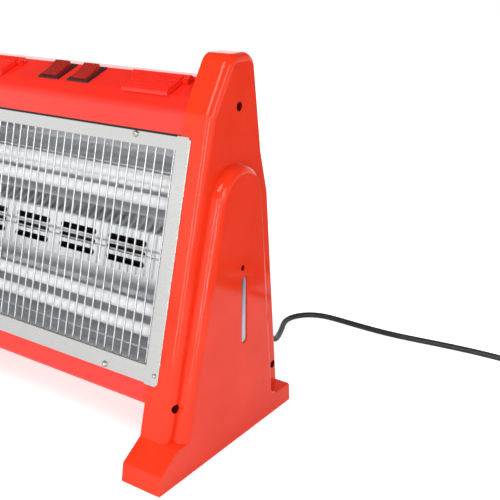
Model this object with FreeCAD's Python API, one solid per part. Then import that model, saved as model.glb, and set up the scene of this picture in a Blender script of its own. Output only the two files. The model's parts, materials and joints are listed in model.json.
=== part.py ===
import FreeCAD, Part
import math
import os

V = FreeCAD.Vector

# Overall form of the heater: it stands on two end panels, its front leans back.
height = 384.0
body_half = 162.0
panel_depth = 31.0
bump_depth = 13.7
front_lean = 12.7
crease_drop = 50.0
upper_lean = 31.0
top_depth = 37.6
floor_depth = 214.7
front_foot_reach = 20.0
back_foot_reach = 0.5
lift = 1.5

# End panel: a moulded cap with a raised arch on its outer face.
panel_wall = 3.0
panel_edge_round = 8.0
panel_top_round = 15.0
back_low_lean = 8.8
shoulder_low_drop = 37.0
shoulder_high_rise = 5.0
shoulder_out = 1.6
shoulder_round = 30.0
bump_front_y = 10.4
bump_front_lean = 13.9
bump_root_y = 9.8
bump_root_lean = 13.6
bump_back_in = 33.8
bump_top_span = 56.9
bump_top_drop = 101.0
bump_sink = 3.0
bump_back_rim = 7.0
bump_top_rim = 3.0
bump_edge_round = 8.5
bump_arch_share = 0.98
foot_top_z = 20.0
foot_root_z = 36.0
foot_taper = 2.5
foot_overlap = 30.0
foot_round = 4.0
foot_edge_round = 2.5
back_foot_top_z = 22.5
back_foot_web = 34.0
back_foot_hollow = 12.0
screw_hole_r = 4.3
screw_boss_r = 6.4
screw_seat = 6.0
upper_screw_rise = 2.7
upper_screw_in = 40.5
low_screw_z = 68.5
low_screw_in = 7.5
back_screw_z = 46.5
back_screw_in = 9.0
screw_shank_r = 1.8
screw_head_r = 4.0
screw_head_h = 2.4
screw_tail = 5.0
screw_play = 0.2
pad_r = 8.0
pad_h = 3.5
pad_inset = 16.0

# Water level sight on the arch.
sight_y = 115.2
sight_low_share = 0.148
sight_high_share = 0.648
sight_width = 9.6
sight_lean = 2.9
sight_recess = 1.6
sight_flange = 3.0
sight_flange_t = 2.0
vent_hole_gap = 9.7
vent_hole_forward = 5.5
vent_hole_r = 2.7

# Sheet metal body between the panels.
sheet = 1.2
fit = 0.3
tuck = 8.0
rail_low_z = 62.0
rail_round_rise = 5.0
slope_rise = 12.0
slope_angle = 20.0
slope_length = 37.0
cover_back_drop = 22.0
tray_lip = 14.0
back_slot_w = 22.0
back_slot_h = 4.0
back_slot_pitch_x = 32.0
back_slot_rows = 6
back_slot_pitch_z = 11.0
back_slot_low_z = 150.0

# Bright frame round the grille opening, measured along the leaning front.
frame_drop = 20.56
frame_bottom = 87.8
frame_top_w = 13.8
frame_bottom_w = 17.0
strip_reach = 12.0
strip_w = 15.5
frame_t = 1.2
strip_lip = 1.2
strip_clip = 3.0
rail_lap = 5.0
frame_screw_r = 3.2
frame_screw_in = 55.0
strip_screw_r = 2.2
strip_screw_in = 4.5
strip_screw_rise = 10.5

# Guard wires.
wire_r = 0.9
wire_pitch = 10.5
cross_wire_shares = (0.13, 0.498, 0.849)

# Heating tubes and reflector, measured along and behind the leaning front.
tube_r = 6.0
tube_wall = 1.0
tube_pitch = 20.7
tube_depth = 21.0
upper_pair_share = 0.763
lower_pair_share = 0.231
coil_r = 3.5
cap_r = 7.6
cap_length = 16.0
cap_cover = 6.0
cap_flange_r = 9.0
cap_flange = 2.0
pin_r = 1.5
trough_depth = 40.0
trough_lap = 2.0
trough_half = 17.0
band_depth = 24.0
band_half_share = 0.092
reflector_t = 0.8
seam_lap = 6.0
slot_length = 49.0
slot_height = 6.2
slot_row_pitch = 10.35
slot_groups = 4
slot_rows = 3
end_plate_t = 1.5
end_plate_gap = 2.0

# Filler lids, one over each end of the top.
lid_in = 79.0
lid_width = 54.0
lid_length = 30.0
lid_t = 6.0
lid_lip = 3.0
lid_rib_h = 1.2
lid_rib_w = 2.4
lid_rib_pitch = 6.5
lid_ribs = 3
lid_knuckle_r = 3.2
hinge_ear_w = 7.0
hinge_ear_gap = 0.5
hinge_pin_r = 1.2
hinge_play = 0.06
funnel_x = 36.0
funnel_y = 18.0
funnel_h = 26.0
funnel_wall = 1.6
hose_r = 5.0

# Rocker switches on the top, between the lids.
rocker_x = 20.0
rocker_w = 20.0
rocker_l = 24.0
rocker_rise = 4.0
rocker_tilt = 9.0
bezel_rim = 3.0
bezel_t = 1.6
bezel_depth = 16.0
rocker_play = 1.0
rocker_axle_r = 1.5

# Blower behind the slotted band.
rotor_edge = 5.0
rotor_end_gap = 44.0
rotor_share = 0.49
rotor_back = 50.0
rotor_blades = 18
rotor_blade_t = 1.2
rotor_blade_w = 6.0
rotor_disc_t = 2.0
rotor_discs = 5
shaft_r = 3.0
shaft_out = 14.0
scroll_gap = 3.0
scroll_t = 1.0
motor_r = 22.0
motor_length = 26.0
bearing_r = 8.0
bearing_length = 7.0
bearing_play = 0.05

# Water tanks, switch gear and wiring inside.
tank_y0 = 82.0
tank_back_gap = 11.2
tank_z0 = 84.0
tank_drop = 57.0
tank_wall = 1.8
tank_round = 6.0
block_x = 46.0
block_y = 20.0
block_z = 16.0
block_ways = 4
cutout_r = 8.0
cutout_h = 6.0
tip_x = 30.0
tip_y = 22.0
tip_z = 26.0
tip_in = 52.0
block_in = 92.0

# Mains lead: gland, free run on the floor, coil and plug.
cord_r = 3.5
cord_gap = 0.5
gland_in = 38.0
gland_z = 90.0
gland_length = 32.0
gland_r0 = 7.0
gland_r1 = 5.2
gland_head_r = 9.0
gland_head = 4.0
gland_ribs = 5
coil_outer_r = 44.0
coil_x = 460.0
coil_tail = 30.0
coil_turns = 2
plug_r = 10.6
plug_length = 38.0
plug_nose = 22.0
plug_pin_r = 2.4
plug_pin_length = 19.0
plug_pin_pitch = 19.0
plug_face = 5.0
plug_face_half = 15.5

# Named overrun for cuts.
over = 2.0

# Derived places.
panel_inner = body_half
panel_outer = body_half + panel_depth
bump_x = panel_outer + bump_depth
depth = front_foot_reach + floor_depth + back_foot_reach
front_y = front_foot_reach - depth / 2
recess = panel_wall + fit
crease_z = height - crease_drop
front_slope = math.tan(math.radians(front_lean))
top_front = crease_z * front_slope + crease_drop * math.tan(math.radians(upper_lean))
back_lean = math.degrees(math.atan((floor_depth - top_front - top_depth) / height))
slope_start_z = crease_z + slope_rise
bump_top_z = height - bump_top_drop
bump_back_y = floor_depth - bump_back_in
bump_front_top = bump_front_y + bump_top_z * math.tan(math.radians(bump_front_lean))
bump_back_slope = (bump_back_y - bump_front_top - bump_top_span) / bump_top_z
shoulder_low_z = bump_top_z - shoulder_low_drop
shoulder_high_z = bump_top_z + shoulder_high_rise
upper_screw_z = crease_z + upper_screw_rise
tank_z1 = bump_top_z - tank_drop
tank_y1 = bump_back_y - tank_z1 * bump_back_slope - tank_back_gap
sight_low_z = tank_z0 + (tank_z1 - tank_z0) * sight_low_share
sight_high_z = tank_z0 + (tank_z1 - tank_z0) * sight_high_share
back_slot_count = int(body_half * 2 / back_slot_pitch_x) - 1
frame_top = (crease_z - frame_drop) / math.cos(math.radians(front_lean))
opening = frame_top - frame_bottom
strip_outer = body_half + strip_reach
frame_screw_x = body_half - frame_screw_in
wire_count = int(body_half * 2 / wire_pitch)
upper_pair = frame_bottom + opening * upper_pair_share
lower_pair = frame_bottom + opening * lower_pair_share
band_half = opening * band_half_share
slot_group_pitch = body_half * 2 / (slot_groups + 1)
lid_inner_x = body_half - lid_in
rotor_r = band_half - rotor_edge
rotor_half = body_half - rotor_end_gap
rotor_place = frame_bottom + opening * rotor_share
tip_place_x = tip_in - body_half
block_place_x = body_half - block_in
gland_x = body_half - gland_in
rail_back = recess + sheet + frame_t
wire_depth = rail_back + wire_r
boss_x = panel_inner + tuck + fit
plate_x = body_half - end_plate_gap
slope_sin = math.sin(math.radians(slope_angle))
slope_cos = math.cos(math.radians(slope_angle))


def front_at(z):
    """Depth of the panel's front face at a height."""
    rise = min(z, crease_z) * front_slope
    extra = max(z - crease_z, 0.0) * math.tan(math.radians(upper_lean))
    return front_y + rise + extra


def back_at(z):
    """Depth of the panel's back face at a height."""
    return front_y + floor_depth - z * math.tan(math.radians(back_lean))


def low_back_at(z):
    """Depth of the panel's back face below its shoulder."""
    return front_y + floor_depth - z * math.tan(math.radians(back_low_lean))


def rounded_wire(x, points, radii):
    """Closed outline at one x, its (y, z) corners rounded by tangent arcs."""
    count = len(points)
    joints = []
    for i in range(count):
        here = V(x, *points[i])
        before = (V(x, *points[i - 1]) - here).normalize()
        after = (V(x, *points[(i + 1) % count]) - here).normalize()
        half = before.getAngle(after) / 2
        reach = radii[i] / math.tan(half)
        bisector = (before + after).normalize()
        middle = here + bisector * (radii[i] / math.sin(half) - radii[i])
        joints.append((here + before * reach, middle, here + after * reach))
    edges = []
    for i in range(count):
        start, middle, end = joints[i]
        if radii[i] > 0.0:
            edges.append(Part.Arc(start, middle, end).toShape())
        edges.append(Part.LineSegment(end, joints[(i + 1) % count][0]).toShape())
    return Part.Wire(edges)


def polygon(x, points):
    """Closed straight-sided outline at one x."""
    corners = [V(x, y, z) for y, z in points]
    return Part.makePolygon(corners + corners[:1])


def extrude(wire, length):
    return Part.Face(wire).extrude(V(length, 0, 0))


def box(x0, x1, y0, y1, z0, z1):
    return Part.makeBox(x1 - x0, y1 - y0, z1 - z0, V(x0, y0, z0))


def rod(radius, start, length, direction):
    return Part.makeCylinder(radius, length, start, direction)


def shifted(points, distance):
    """Open outline moved sideways by a distance, with mitred corners."""
    result = []
    for i, (y, z) in enumerate(points):
        sides = []
        for a, b in ((i - 1, i), (i, i + 1)):
            if 0 <= a and b < len(points):
                run = V(0, points[b][0] - points[a][0], points[b][1] - points[a][1]).normalize()
                sides.append(V(0, -run.z, run.y))
        normal = sides[0] if len(sides) == 1 else (sides[0] + sides[1]).normalize()
        reach = distance / normal.dot(sides[0])
        result.append((y + normal.y * reach, z + normal.z * reach))
    return result


def folded(points, thickness, x0, x1):
    """Folded sheet: an open outline given a thickness and run along x."""
    outline = points + shifted(points, thickness)[::-1]
    return extrude(polygon(x0, outline), x1 - x0)


def lean(shape):
    """Turn a shape drawn on an upright front so that it lies on the leaning front."""
    shape.rotate(V(0, front_y, 0), V(1, 0, 0), -front_lean)
    return shape


def mirrored(shape):
    return shape.mirror(V(0, 0, 0), V(1, 0, 0))


def fuse(shapes):
    return shapes[0].multiFuse(shapes[1:]).removeSplitter()


def panel_outline(x, inset):
    """Side outline of an end panel, drawn in from its outer face by an inset."""
    low = lift + inset
    tilt = math.radians(front_lean)
    upper = math.radians(upper_lean)
    back = math.radians(back_lean)
    top = height - inset
    crease = crease_z - inset * math.tan((upper - tilt) / 2) * math.sin(tilt)
    front_in = inset / math.cos(tilt)
    upper_in = inset / math.cos(upper)
    back_in = inset / math.cos(back)
    points = [
        (front_at(low) + front_in, low),
        (front_at(crease) + front_in, crease),
        (front_at(top) + upper_in, top),
        (back_at(top) - back_in, top),
        (back_at(shoulder_high_z) + shoulder_out - back_in, shoulder_high_z),
        (low_back_at(shoulder_low_z) - back_in, shoulder_low_z),
        (low_back_at(low) - back_in, low),
    ]
    top_round = panel_top_round - inset
    radii = (0.0, panel_edge_round, top_round, top_round, shoulder_round, shoulder_round, 0.0)
    return rounded_wire(x, points, radii)


def bump_outline(x, sunk, inset):
    """Outline of the arch at its rim, or at its root sunk in the panel, drawn in by an inset."""
    low = lift + inset
    lean_angle = bump_root_lean if sunk else bump_front_lean
    front0 = front_y + inset + (bump_root_y if sunk else bump_front_y)
    back0 = front_y - inset + bump_back_y + (bump_back_rim if sunk else 0.0)
    top = bump_top_z - inset + (bump_top_rim if sunk else 0.0)
    front_tilt = math.tan(math.radians(lean_angle))
    front_top = front0 + top * front_tilt
    back_top = back0 - top * bump_back_slope
    points = [
        (front0 + low * front_tilt, low),
        (front_top, top),
        (back_top, top),
        (back0 - low * bump_back_slope, low),
    ]
    reaches = [(math.pi / 2 + angle) / 2 for angle in (math.radians(lean_angle), math.atan(bump_back_slope))]
    arch = bump_arch_share * (back_top - front_top) / sum(1 / math.tan(reach) for reach in reaches)
    return rounded_wire(x, points, (0.0, arch, arch, 0.0))


def rim_edges(solid, x, low):
    """Edges of a solid that lie on the plane at x, above a height."""
    chosen = []
    for edge in solid.Edges:
        bounds = edge.BoundBox
        if abs(bounds.XMin - x) < fit and abs(bounds.XMax - x) < fit and bounds.ZMax > low + fit:
            chosen.append(edge)
    return chosen


def front_foot():
    """Front foot, as thick as the arch is proud."""
    toe = front_y - front_foot_reach
    root = front_at(foot_root_z)
    points = [
        (toe, lift),
        (toe + foot_taper, foot_top_z),
        (root, foot_root_z),
        (root + foot_overlap, foot_root_z),
        (root + foot_overlap, lift),
    ]
    outline = rounded_wire(panel_inner, points, (0.0, foot_round, 0.0, 0.0, 0.0))
    return extrude(outline, bump_x - panel_inner)


def arch_back(z):
    """Depth of the arch's back edge at a height."""
    return front_y + bump_back_y - z * bump_back_slope


def back_foot():
    """Back foot, flush with the arch, which runs into it in a hollow curve."""
    toe = front_y + floor_depth + back_foot_reach
    high = back_foot_top_z + back_foot_web
    web = arch_back(high) - bump_edge_round
    root = web - bump_edge_round
    points = [
        (toe, lift),
        (toe - foot_taper, back_foot_top_z),
        (arch_back(back_foot_top_z), back_foot_top_z),
        (web, high),
        (root, high),
        (root, lift),
    ]
    outline = rounded_wire(panel_inner, points, (0.0, foot_round, back_foot_hollow, 0.0, 0.0, 0.0))
    block = extrude(outline, bump_x - panel_inner)
    edges = [edge for edge in rim_edges(block, bump_x, lift) if edge.BoundBox.YMax > web + fit]
    return block.makeFillet(foot_edge_round, edges)


def panel_screw_places():
    """Depth and height of the three deep screw holes of a panel."""
    return [
        (front_at(upper_screw_z) + upper_screw_in, upper_screw_z),
        (front_at(low_screw_z) + low_screw_in, low_screw_z),
        (back_at(back_screw_z) - back_screw_in, back_screw_z),
    ]


def side_panel():
    slab = extrude(panel_outline(panel_inner, 0.0), panel_depth)
    slab = slab.makeFillet(panel_edge_round, rim_edges(slab, panel_outer, lift))
    root = panel_outer - bump_sink
    bump = Part.makeLoft([bump_outline(root, True, 0.0), bump_outline(bump_x, False, 0.0)], True, True)
    bump = bump.makeFillet(bump_edge_round, rim_edges(bump, bump_x, lift))
    outer = fuse([slab, bump, front_foot(), back_foot()])
    pocket = extrude(panel_outline(panel_inner - over, panel_wall), panel_depth + over - panel_wall)
    pocket_round = panel_edge_round - panel_wall
    pocket = pocket.makeFillet(pocket_round, rim_edges(pocket, panel_outer - panel_wall, lift + panel_wall))
    hollow = Part.makeLoft([bump_outline(root - panel_wall, True, panel_wall),
                            bump_outline(bump_x - panel_wall, False, panel_wall)], True, True)
    shell = outer.cut(fuse([pocket, hollow]))
    bosses = []
    holes = []
    for y, z in panel_screw_places():
        bosses.append(rod(screw_boss_r, V(boss_x, y, z), panel_outer - boss_x, V(1, 0, 0)).common(outer))
        holes.append(rod(screw_hole_r, V(boss_x + screw_seat, y, z), bump_x, V(1, 0, 0)))
        holes.append(rod(screw_shank_r + screw_play, V(panel_inner, y, z), panel_depth, V(1, 0, 0)))
    shell = fuse([shell] + bosses)
    sight = sight_bar(sight_width / 2, bump_x - panel_wall - over, bump_x + over)
    vent_y = front_y + sight_y - vent_hole_forward
    vent = rod(vent_hole_r, V(bump_x - panel_wall - over, vent_y, sight_high_z + vent_hole_gap),
               panel_wall + over * 2, V(1, 0, 0))
    pads = [rod(pad_r + fit, V(x, y, 0), pad_h, V(0, 0, 1)) for x, y in pad_places()]
    return shell.cut(Part.makeCompound(holes + [sight, vent] + pads))


def sight_bar(half, x0, x1):
    """Bar with round ends, leaning a little, at the water level sight."""
    y = front_y + sight_y
    low = sight_low_z + sight_width / 2
    high = sight_high_z - sight_width / 2
    middle = box(x0, x1, y - half, y + half, low, high)
    ends = [rod(half, V(x0, y, z), x1 - x0, V(1, 0, 0)) for z in (low, high)]
    bar = fuse([middle] + ends)
    bar.rotate(V(x0, y, (low + high) / 2), V(1, 0, 0), sight_lean)
    return bar


def level_sight():
    """Clear bar in the slot, with a flange against the inside of the arch."""
    inner = bump_x - panel_wall
    lens = sight_bar(sight_width / 2 - fit, inner - sight_flange_t, bump_x - sight_recess)
    flange = sight_bar(sight_width / 2 + sight_flange, inner - sight_flange_t, inner)
    return fuse([lens, flange])


def pad_places():
    x = (panel_inner + bump_x) / 2
    front = front_y - front_foot_reach + pad_inset
    back = front_y + floor_depth + back_foot_reach - pad_inset
    return [(x, front), (x, back)]


def rubber_pads():
    pads = [rod(pad_r, V(x, y, 0), pad_h, V(0, 0, 1)) for x, y in pad_places()]
    return Part.makeCompound(pads)


def panel_screws():
    """Screws at the foot of the deep holes, through the boss into the end plate."""
    screws = []
    for y, z in panel_screw_places():
        seat = boss_x + screw_seat
        head = rod(screw_head_r, V(seat, y, z), screw_head_h, V(1, 0, 0))
        tail = seat - plate_x + end_plate_t + screw_tail
        shank = rod(screw_shank_r, V(seat - tail, y, z), tail, V(1, 0, 0))
        slot = box(seat + screw_head_h / 2, seat + screw_head_h + over, y - fit, y + fit,
                   z - screw_head_r, z + screw_head_r)
        screws.append(fuse([head, shank]).cut(slot))
    return Part.makeCompound(screws)


def body_front(z):
    return front_at(z) + recess / math.cos(math.radians(front_lean))


def body_back(z):
    return back_at(z) - recess / math.cos(math.radians(back_lean))


def slope_start():
    """Front edge of the sloping top of the body."""
    return body_front(slope_start_z), slope_start_z


def slope_point(along, out, x):
    """Point on the sloping top: along it from its front edge, and out from it."""
    y, z = slope_start()
    return V(x, y + along * slope_cos - out * slope_sin, z + along * slope_sin + out * slope_cos)


def on_slope(shape):
    """Place a shape drawn flat, with y along the slope and z out of it."""
    shape.rotate(V(0, 0, 0), V(1, 0, 0), slope_angle)
    shape.translate(slope_point(0.0, 0.0, 0.0))
    return shape


def top_cover():
    """Folded sheet from the frame's top edge, over the top, to the back."""
    low_z = frame_top * math.cos(math.radians(front_lean))
    ridge = slope_point(slope_length, 0.0, 0.0)
    points = [
        (body_front(low_z), low_z),
        (body_front(crease_z), crease_z),
        slope_start(),
        (ridge.y, ridge.z),
        (body_back(ridge.z), ridge.z),
        (body_back(ridge.z - cover_back_drop), ridge.z - cover_back_drop),
    ]
    half = body_half + tuck
    cover = folded(points, -sheet, -half, half)
    cuts = [rocker_hole(side) for side in (-1, 1)] + [filler_hole(side) for side in (-1, 1)]
    return cover.cut(Part.makeCompound(cuts))


def rocker_hole(side):
    half_w = rocker_w / 2 + rocker_play + bezel_t + fit
    half_l = rocker_l / 2 + rocker_play + bezel_t + fit
    middle = slope_length / 2
    hole = box(side * rocker_x - half_w, side * rocker_x + half_w, middle - half_l, middle + half_l,
               -sheet - over, over)
    return on_slope(hole)


def filler_hole(side):
    x = side * (lid_inner_x + lid_width / 2)
    middle = lid_length / 2
    reach_x = funnel_x / 2 + fit
    reach_y = funnel_y / 2 + fit
    return on_slope(box(x - reach_x, x + reach_x, middle - reach_y, middle + reach_y, -sheet - over, over))


def base_tray():
    """Front rail, floor and back lip of the body in one folded sheet."""
    tilt = math.radians(front_lean)
    top_z = (frame_bottom + frame_bottom_w / 2) * math.cos(tilt)
    bend = rail_low_z + rail_round_rise
    points = [
        (body_front(top_z), top_z),
        (body_front(bend), bend),
        (body_front(rail_low_z) + rail_round_rise, rail_low_z),
        (body_back(rail_low_z), rail_low_z),
        (body_back(rail_low_z + tray_lip), rail_low_z + tray_lip),
    ]
    half = body_half + tuck
    tray = folded(points, sheet, -half, half)
    y, z = panel_screw_places()[-1]
    tabs = []
    holes = []
    for side in (-1, 1):
        x = side * (plate_x - end_plate_t / 2)
        tabs.append(box(x - end_plate_t / 2, x + end_plate_t / 2, y - screw_boss_r, y + screw_boss_r,
                        z - screw_boss_r, rail_low_z + sheet / 2))
        holes.append(rod(screw_shank_r + screw_play, V(x - over, y, z), over * 2, V(1, 0, 0)))
    return fuse([tray] + tabs).cut(Part.makeCompound(holes))


def back_panel():
    """Back sheet, inside the tray's lip and the cover's lip, with rows of air slots."""
    ridge_z = slope_point(slope_length, 0.0, 0.0).z
    low = rail_low_z + sheet * 2
    high = ridge_z - sheet * 2
    inset = sheet / math.cos(math.radians(back_lean))
    points = [(body_back(low) - inset, low), (body_back(high) - inset, high)]
    panel = folded(points, sheet, -plate_x, plate_x)
    cuts = []
    for row in range(back_slot_rows):
        z = back_slot_low_z + row * back_slot_pitch_z
        for column in range(back_slot_count):
            x = (column - (back_slot_count - 1) / 2) * back_slot_pitch_x
            y = body_back(z)
            cuts.append(box(x - back_slot_w / 2, x + back_slot_w / 2, y - over * 3, y + over,
                            z - back_slot_h / 2, z + back_slot_h / 2))
    gland_start = V(gland_x, body_back(gland_z) - over * 3, gland_z)
    cuts.append(rod(gland_r0 + fit, gland_start, over * 4, V(0, 1, 0)))
    return panel.cut(Part.makeCompound(cuts))


def end_plate():
    """Inner end wall that carries the tubes, the reflectors and the panel's screws."""
    low = rail_low_z + sheet
    ridge = slope_point(slope_length, -sheet * 2, 0.0)
    start = slope_point(0.0, -sheet * 2, 0.0)
    gap = sheet + fit
    inset = gap + sheet
    points = [
        (body_front(low) + rail_round_rise + inset, low),
        (body_front(low + rail_round_rise * 2) + inset, low + rail_round_rise * 2),
        (body_front(crease_z) + inset, crease_z),
        (start.y + inset, start.z),
        (ridge.y, ridge.z),
        (body_back(ridge.z) - inset * 2, ridge.z),
        (body_back(low) - inset * 2, low),
    ]
    plate = extrude(polygon(plate_x - end_plate_t, points), end_plate_t)
    holes = []
    for along in tube_places():
        hole = rod(cap_r + fit, V(plate_x - end_plate_t - over, front_y + tube_depth, along),
                   end_plate_t + over * 2, V(1, 0, 0))
        holes.append(lean(hole))
    for y, z in panel_screw_places():
        holes.append(rod(screw_shank_r + screw_play, V(plate_x - end_plate_t - over, y, z),
                         end_plate_t + over * 2, V(1, 0, 0)))
    hose_y, hose_z = hose_place()
    holes.append(rod(hose_r + fit, V(plate_x - end_plate_t - over, hose_y, hose_z),
                     end_plate_t + over * 2, V(1, 0, 0)))
    return plate.cut(Part.makeCompound(holes))


def frame_rail(low, high, back):
    """One long strip of the bright frame, its back at a depth behind the front."""
    half = body_half - fit
    return lean(box(-half, half, front_y + back - frame_t, front_y + back, low, high))


def frame_top_rail():
    """Upper strip, tucked up behind the edge of the top cover."""
    return frame_rail(frame_top - frame_top_w, frame_top + rail_lap, rail_back)


def frame_bottom_rail():
    """Lower strip, on the front of the base tray."""
    return frame_rail(frame_bottom, frame_bottom + frame_bottom_w, recess)


def side_strip():
    """Bright upright strip over the joint of body and panel, its inner edge folded in."""
    inner = strip_outer - strip_w
    y = front_y - frame_t
    corners = [
        (inner, frame_bottom),
        (strip_outer - strip_clip, frame_bottom),
        (strip_outer, frame_bottom + strip_clip),
        (strip_outer, frame_top - strip_clip),
        (strip_outer - strip_clip, frame_top),
        (inner, frame_top),
    ]
    outline = Part.makePolygon([V(x, y, z) for x, z in corners + corners[:1]])
    face = Part.Face(outline).extrude(V(0, frame_t, 0))
    lip = box(inner, inner + strip_lip, y, front_y + recess - frame_t, frame_bottom, frame_top)
    return lean(fuse([face, lip]))


def frame_screws():
    """Domed screws of the long strips and of the feet of the side strips."""
    strip_x = strip_outer - strip_screw_in
    places = [
        (frame_screw_r, frame_screw_x, rail_back - frame_t, frame_top - frame_top_w / 3),
        (frame_screw_r, frame_screw_x, recess - frame_t, frame_bottom + frame_bottom_w / 4),
        (strip_screw_r, strip_x, -frame_t, frame_bottom + strip_screw_rise),
    ]
    screws = []
    for radius, x, face, along in places:
        for side in (-1, 1):
            place = V(side * x, front_y + face, along)
            screws.append(lean(Part.makeSphere(radius, place, V(0, -1, 0), 0.0, 90.0, 360.0)))
    return Part.makeCompound(screws)


def guard_wires():
    """Upright guard wires behind the long strips of the frame."""
    wires = []
    low = frame_bottom + frame_bottom_w * 2 / 3
    length = frame_top - frame_top_w / 2 - low
    for i in range(wire_count):
        x = (i - (wire_count - 1) / 2) * wire_pitch
        wires.append(lean(rod(wire_r, V(x, front_y + wire_depth, low), length, V(0, 0, 1))))
    return Part.makeCompound(wires)


def cross_wires():
    """Level wires that the upright ones are welded to, held in the end plates."""
    half = plate_x - end_plate_t
    wires = []
    for share in cross_wire_shares:
        along = frame_bottom + opening * share
        start = V(-half, front_y + wire_depth + wire_r * 2, along)
        wires.append(lean(rod(wire_r, start, half * 2, V(1, 0, 0))))
    return Part.makeCompound(wires)


def tube_places():
    places = []
    for pair in (upper_pair, lower_pair):
        places += [pair - tube_pitch / 2, pair + tube_pitch / 2]
    return places


def tube_half():
    """Half the length of a quartz tube, which ends inside its end caps."""
    return plate_x - end_plate_t - cap_flange - cap_length + cap_cover + cap_length / 2


def quartz_tube(along):
    half = tube_half()
    start = V(-half, front_y + tube_depth, along)
    outer = rod(tube_r, start, half * 2, V(1, 0, 0))
    bore = rod(tube_r - tube_wall, start, half * 2, V(1, 0, 0))
    return lean(outer.cut(bore))


def heating_coil(along):
    """Resistance winding as its plain outer form, with its leads into the caps."""
    half = tube_half()
    lead = half + cap_length / 2
    y = front_y + tube_depth
    core = rod(coil_r, V(-half, y, along), half * 2, V(1, 0, 0))
    leads = rod(pin_r, V(-lead, y, along), lead * 2, V(1, 0, 0))
    return lean(fuse([core, leads]))


def end_caps():
    """Ceramic caps of one end, flanged against the end plate, each with its terminal."""
    caps = []
    y = front_y + tube_depth
    inner = plate_x - end_plate_t - cap_flange
    for along in tube_places():
        nose_start = tube_half() - cap_cover
        nose = rod(cap_r, V(nose_start, y, along), inner - nose_start, V(1, 0, 0))
        flange = rod(cap_flange_r, V(inner, y, along), cap_flange, V(1, 0, 0))
        tail = rod(cap_r, V(inner, y, along), cap_length / 2, V(1, 0, 0))
        socket = rod(tube_r + fit / 2, V(nose_start - over, y, along), cap_cover + over, V(1, 0, 0))
        hole = rod(pin_r + fit / 2, V(nose_start, y, along), cap_length * 2, V(1, 0, 0))
        caps.append(lean(fuse([nose, flange, tail]).cut(fuse([socket, hole]))))
    return Part.makeCompound(caps)


def trough_points(pair, sign):
    """Outer half of a trough, from behind the frame's rail to the trough's floor."""
    mouth = wire_depth + wire_r * 3 + fit
    rail = frame_top - frame_top_w if sign > 0 else frame_bottom + frame_bottom_w
    edge = rail + sign * trough_lap
    return [
        (front_y + mouth, edge),
        (front_y + (mouth + trough_depth) / 2, (edge * 2 + pair + sign * trough_half) / 3),
        (front_y + trough_depth, pair + sign * trough_half * 2 / 3),
    ]


def reflector(pair, sign):
    """Bright trough round a pair of tubes; its inner edge meets the slotted band."""
    outer = trough_points(pair, sign)
    middle = rotor_place + sign * band_half
    inner = [
        (front_y + trough_depth, pair - sign * trough_half * 2 / 3),
        (front_y + (band_depth + trough_depth) / 2, (pair + middle) / 2 - sign * trough_half / 4),
        (front_y + band_depth + reflector_t, middle + sign * reflector_t),
        (front_y + band_depth + reflector_t, middle - sign * seam_lap),
    ]
    half = plate_x - end_plate_t
    return lean(folded(outer + inner, sign * reflector_t, -half, half))


def vent_band():
    """Flat bright band between the troughs, with groups of round-ended air slots."""
    half = plate_x - end_plate_t
    y = front_y + band_depth
    band = box(-half, half, y, y + reflector_t, rotor_place - band_half, rotor_place + band_half)
    cuts = []
    for group in range(slot_groups):
        x = (group - (slot_groups - 1) / 2) * slot_group_pitch
        for row in range(slot_rows):
            z = rotor_place + (row - (slot_rows - 1) / 2) * slot_row_pitch
            reach = (slot_length - slot_height) / 2
            cuts.append(box(x - reach, x + reach, y - over, y + over,
                            z - slot_height / 2, z + slot_height / 2))
            for end in (-reach, reach):
                cuts.append(rod(slot_height / 2, V(x + end, y - over, z), over * 2, V(0, 1, 0)))
    return lean(band.cut(Part.makeCompound(cuts)))


def lid_middle():
    return lid_inner_x + lid_width / 2


def lid_axis():
    """Hinge line of the lid: along the slope and out from it."""
    return lid_length - lid_knuckle_r, lid_knuckle_r + fit


def filler_lid():
    """Ribbed lid with an overhanging front lip and a hinge knuckle along its back."""
    half = lid_width / 2
    along, out = lid_axis()
    profile = [
        (-lid_lip, fit),
        (-lid_lip, lid_t * 2 / 3),
        (0.0, lid_t),
        (along - lid_knuckle_r * 2, lid_t),
        (along, lid_knuckle_r * 2 + fit),
        (along, fit),
    ]
    plate = extrude(polygon(-half, profile), lid_width)
    knuckle = rod(lid_knuckle_r, V(-half, along, out), lid_width, V(1, 0, 0))
    ribs = []
    for i in range(lid_ribs):
        y = lid_rib_pitch / 2 + i * lid_rib_pitch
        rib_half = half - lid_rib_pitch / 2
        ribs.append(box(-rib_half, rib_half, y, y + lid_rib_w, lid_t / 2, lid_t + lid_rib_h))
    lid = fuse([plate, knuckle] + ribs)
    bore = rod(hinge_pin_r + hinge_play, V(-half - over, along, out), lid_width + over * 2, V(1, 0, 0))
    lid = lid.cut(bore)
    lid.translate(V(lid_middle(), 0, 0))
    return on_slope(lid)


def lid_hinge():
    """Pair of ears on the top, each side of the lid, that hold its pin."""
    along, out = lid_axis()
    ears = []
    for side in (-1, 1):
        x = side * (lid_width / 2 + hinge_ear_gap + hinge_ear_w / 2)
        ear = box(x - hinge_ear_w / 2, x + hinge_ear_w / 2, along - lid_knuckle_r * 2,
                  along + lid_knuckle_r, 0.0, out)
        crown = rod(lid_knuckle_r, V(x - hinge_ear_w / 2, along, out), hinge_ear_w, V(1, 0, 0))
        nose = box(x - hinge_ear_w / 2, x + hinge_ear_w / 2, along - lid_knuckle_r * 2, along,
                   0.0, out + lid_knuckle_r / 2)
        ears.append(fuse([ear, crown, nose]))
    hole = rod(hinge_pin_r, V(-lid_width, along, out), lid_width * 2, V(1, 0, 0))
    hinge = Part.makeCompound([ear.cut(hole) for ear in ears])
    hinge.translate(V(lid_middle(), 0, 0))
    return on_slope(hinge)


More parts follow.
